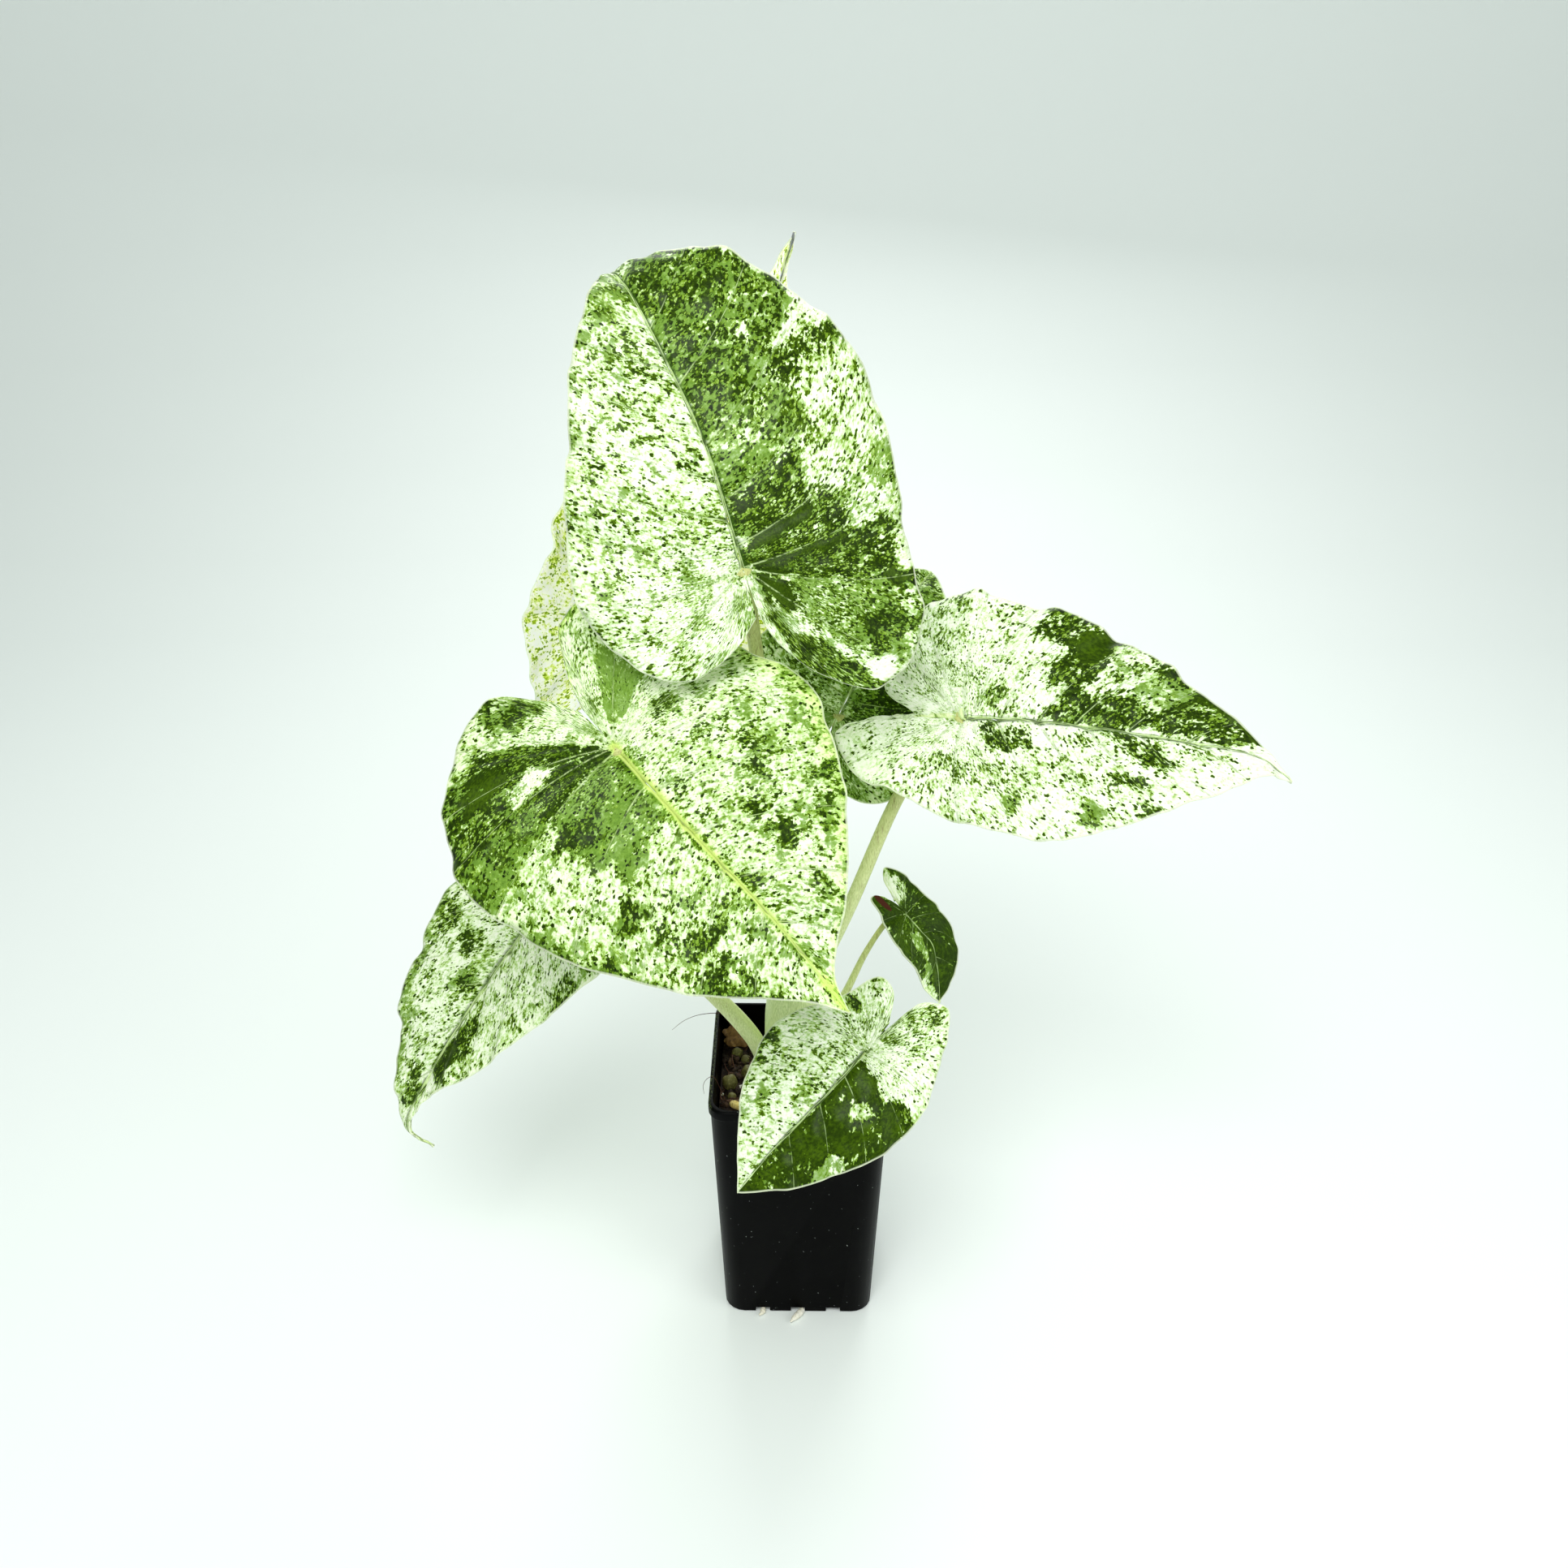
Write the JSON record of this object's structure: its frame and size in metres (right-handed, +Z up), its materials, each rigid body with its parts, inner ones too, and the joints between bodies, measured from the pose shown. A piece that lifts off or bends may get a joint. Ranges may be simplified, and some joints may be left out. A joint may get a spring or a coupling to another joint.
{
  "type": "potted batik alocasia odora",
  "caption": "Potted batik alocasia: large heart-shaped green leaves speckled with cream, on pale stalks, rooted in potting mix in a square tapered black nursery pot.",
  "frame": {"origin": "middle of the pot's base, on the surface that it stands on", "axes": "+Z up; -Y towards the side the picture was taken from; +X to the right in the picture"},
  "size_m": [0.2792, 0.1565, 0.3581],
  "materials": {
    "variegated_leaf": "waxy satin leaf, green speckled with cream",
    "shaded_leaf": "waxy satin leaf, dark green mottled with grey-green and cream",
    "young_leaf": "waxy satin leaf, dark green with white patches",
    "stalk": "waxy satin, pale yellow-green with brown streaks",
    "stem": "waxy satin, pale yellow-green leaf sheaths",
    "pot_plastic": "satin moulded black plastic",
    "potting_mix": "loose dark bark and peat crumbs",
    "clay_pebble": "dull fired clay, olive to tan",
    "bark": "dry fibrous bark",
    "dry_sheath": "dry papery leaf sheath, brown",
    "root": "smooth pale root tip"
  },
  "bodies": {
    "root": {"blade_top": "variegated_leaf", "stalk_top": "stalk", "blade_front": "variegated_leaf", "stalk_front": "stalk", "blade_right": "variegated_leaf", "stalk_right": "stalk", "blade_back": "variegated_leaf", "stalk_back": "stalk", "blade_middle": "shaded_leaf", "stalk_middle": "stalk", "blade_lowLeft": "variegated_leaf", "stalk_lowLeft": "stalk", "blade_small": "variegated_leaf", "stalk_small": "stalk", "blade_young": "young_leaf", "stalk_young": "stalk", "stem": "stem", "soil": "potting_mix", "pot": "pot_plastic", "pebble_1": "clay_pebble", "pebble_2": "clay_pebble", "pebble_3": "clay_pebble", "pebble_4": "clay_pebble", "pebble_5": "clay_pebble", "pebble_6": "clay_pebble", "pebble_7": "clay_pebble", "pebble_8": "clay_pebble", "pebble_9": "clay_pebble", "pebble_10": "clay_pebble", "pebble_11": "clay_pebble", "pebble_12": "clay_pebble", "pebble_13": "clay_pebble", "pebble_14": "clay_pebble", "bark_chip": "bark", "leaf_scrap": "dry_sheath", "root_tip_front": "root", "root_tip_left": "root"}
  },
  "joints": []
}
